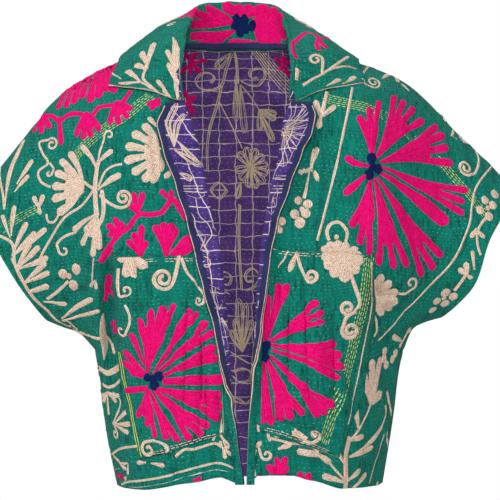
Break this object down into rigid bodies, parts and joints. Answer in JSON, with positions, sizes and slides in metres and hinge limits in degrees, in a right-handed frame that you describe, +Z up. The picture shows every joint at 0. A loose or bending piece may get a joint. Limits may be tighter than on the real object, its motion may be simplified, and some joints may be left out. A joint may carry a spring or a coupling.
{
  "type": "kantha jacket",
  "caption": "Short-sleeved open-front kantha jacket of quilted teal cloth with chain stitch flowers, turned collar, lapels and patch pockets, filled out and hollow.",
  "frame": {"origin": "the middle of the neck opening, level with the seam at the neck, where the wearer's shoulders hold the jacket", "axes": "+Z up, -Y out of the front, +X to the right as seen from the front, along the two sleeves"},
  "size_m": [0.788, 0.2616, 0.7081],
  "materials": {
    "quilted_cloth": "two layers of old cotton quilted with running stitch, teal outside and purple inside",
    "navy_tape": "plain woven cotton tape, matt",
    "flower_thread": "fuchsia chain stitch in soft cotton thread",
    "cream_thread": "cream chain stitch in soft cotton thread",
    "navy_thread": "navy chain stitch in soft cotton thread",
    "lime_thread": "yellow green running stitch",
    "white_thread": "white quilting thread in short running stitches"
  },
  "bodies": {
    "root": {"back": "quilted_cloth", "front_left": "quilted_cloth", "front_right": "quilted_cloth", "collar": "quilted_cloth", "pocket_left": "quilted_cloth", "pocket_right": "quilted_cloth", "neck_tape": "navy_tape", "front_tape_left": "navy_tape", "front_tape_right": "navy_tape"}
  },
  "joints": []
}
